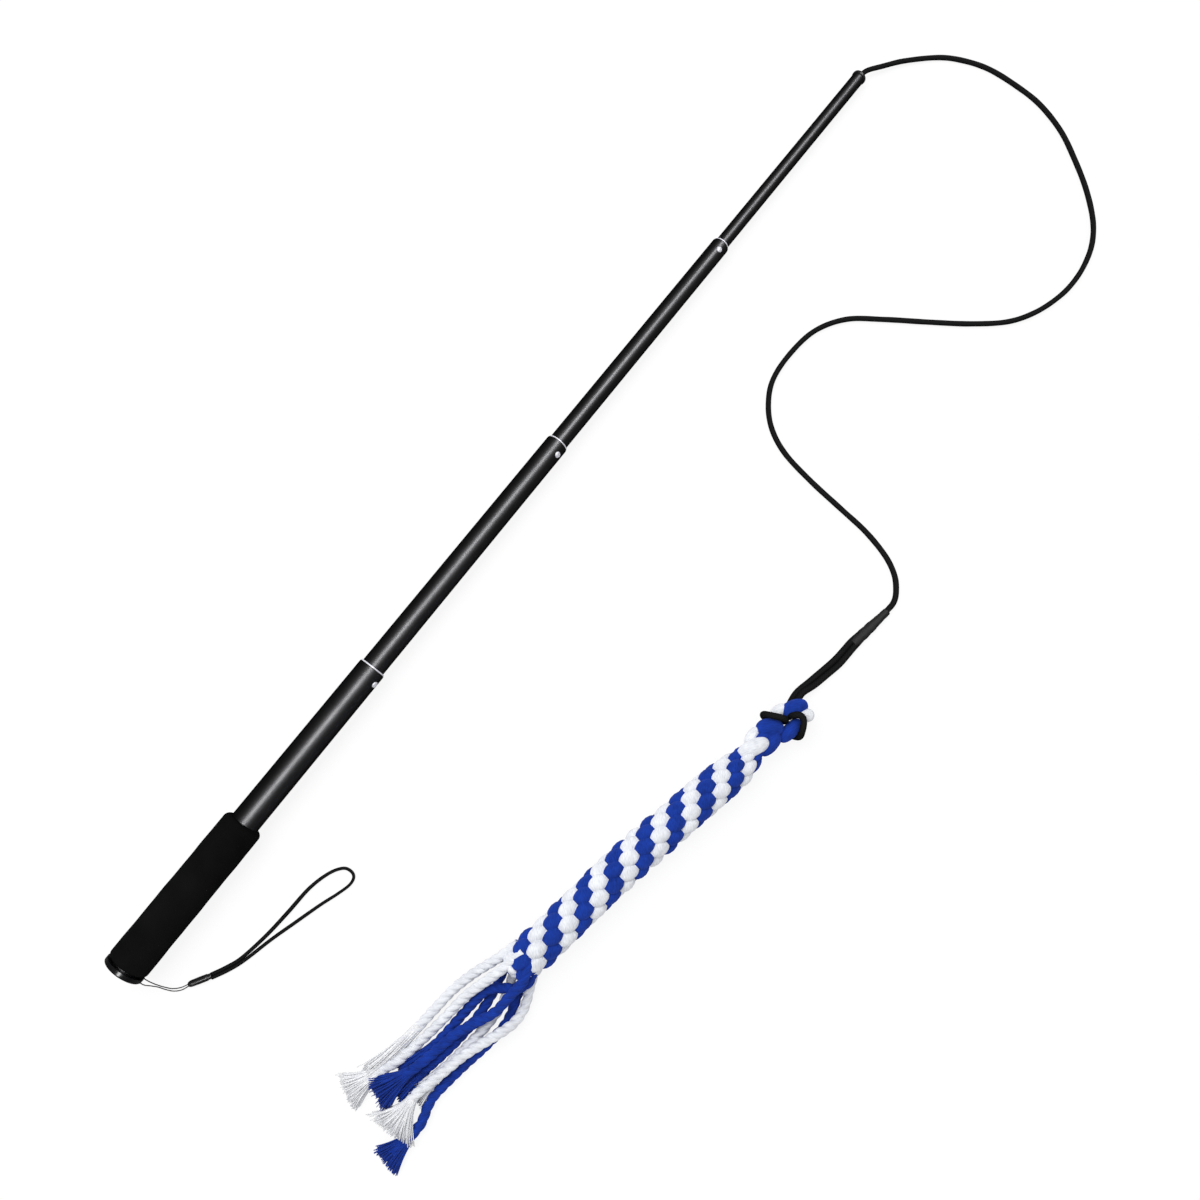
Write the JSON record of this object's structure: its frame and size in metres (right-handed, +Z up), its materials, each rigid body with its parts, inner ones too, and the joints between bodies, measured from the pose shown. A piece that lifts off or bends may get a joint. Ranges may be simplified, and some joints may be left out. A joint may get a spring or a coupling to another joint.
{
  "type": "dog flirt pole",
  "caption": "Telescopic dog flirt pole with a foam grip and wrist strap, spring-button locks, and a black cord hitched to a braided blue and white rope toy.",
  "frame": {"origin": "middle of the end cap's flat outer face, at the butt of the handle", "axes": "+X along the pole from the butt to the tip, +Z up from the floor that the pole lies on, -Y to the side where the toy lies"},
  "size_m": [1.0583, 0.313, 0.0317],
  "materials": {
    "cap_plastic": "glossy near-black moulded plastic",
    "black_foam": "matt black closed-cell foam",
    "black_lacquer": "glossy black lacquer",
    "bright_ring": "bright plated",
    "bush_plastic": "natural white moulded plastic",
    "spring_steel": "plain spring steel",
    "button_steel": "bright domed steel",
    "tip_plastic": "black moulded plastic",
    "black_cord": "woven black cord",
    "shrunk_sleeve": "dark grey shrunk tube, wrinkled",
    "blue_rope": "blue cotton rope",
    "white_rope": "white cotton rope",
    "braided_rope": "blue and white cotton braid",
    "strap_thread": "black thread and cord"
  },
  "bodies": {
    "handle": {"end_cap": "cap_plastic", "foam_grip": "black_foam", "handle_tube": "black_lacquer", "handle_mouth_ring": "bright_ring"},
    "second_section": {"second_tube": "black_lacquer", "second_foot_bush": "bush_plastic", "second_lock_spring": "spring_steel", "second_mouth_ring": "bright_ring"},
    "third_section": {"third_tube": "black_lacquer", "third_foot_bush": "bush_plastic", "third_lock_spring": "spring_steel", "third_mouth_ring": "bright_ring"},
    "tip_section": {"tip_tube": "black_lacquer", "tip_foot_bush": "bush_plastic", "tip_lock_spring": "spring_steel", "tip_cap": "tip_plastic", "cord_knot": "black_cord", "lure_cord": "black_cord", "cord_sleeve": "shrunk_sleeve", "cord_loop": "black_cord"},
    "second_button": {"second_lock_button": "button_steel"},
    "third_button": {"third_lock_button": "button_steel"},
    "tip_button": {"tip_lock_button": "button_steel"},
    "toy": {"toy_eye": "blue_rope", "toy_braid": "braided_rope", "blue_strand_1": "blue_rope", "blue_strand_2": "blue_rope", "blue_strand_3": "blue_rope", "blue_strand_4": "blue_rope", "white_strand_1": "white_rope", "white_strand_2": "white_rope", "white_strand_3": "white_rope", "white_strand_4": "white_rope"},
    "wrist_strap": {"strap_tether": "strap_thread", "strap_ferrule": "cap_plastic", "strap_loop": "strap_thread"}
  },
  "joints": [
    {"name": "extend_second", "type": "slide", "parent": "handle", "child": "second_section", "axis": [1, 0, -0.01], "range_m": [-0.212, 0], "deforming": ["second_lock_button", "second_lock_spring"]},
    {"name": "extend_third", "type": "slide", "parent": "second_section", "child": "third_section", "axis": [1, 0, -0.01], "range_m": [-0.212, 0], "deforming": ["third_lock_button", "third_lock_spring"]},
    {"name": "extend_tip", "type": "slide", "parent": "third_section", "child": "tip_section", "axis": [1, 0, -0.01], "range_m": [-0.212, 0], "deforming": ["tip_lock_button", "tip_lock_spring"]},
    {"name": "press_second", "type": "slide", "parent": "second_section", "child": "second_button", "axis": [-0.0022, 0.9744, -0.2249], "range_m": [0, 0.0021], "stiffness_N_per_m": 400, "deforming": ["second_lock_spring"]},
    {"name": "press_third", "type": "slide", "parent": "third_section", "child": "third_button", "axis": [-0.0053, 0.848, -0.5299], "range_m": [0, 0.0021], "stiffness_N_per_m": 400, "deforming": ["third_lock_spring"]},
    {"name": "press_tip", "type": "slide", "parent": "tip_section", "child": "tip_button", "axis": [-0.0088, 0.4695, -0.8829], "range_m": [0, 0.0021], "stiffness_N_per_m": 400, "deforming": ["tip_lock_spring"]},
    {"name": "toy_swing", "type": "hinge", "parent": "tip_section", "child": "toy", "pos_m": [0.4214, -0.2758, -0.00145], "axis": [0, 0, 1], "range_deg": [-8, 60], "deforming": ["cord_loop"]},
    {"name": "strap_swing", "type": "hinge", "parent": "handle", "child": "wrist_strap", "pos_m": [0.0025, -0.013, -0.0023], "axis": [0, 0, -1], "range_deg": [-12, 36], "deforming": ["strap_tether"]}
  ]
}
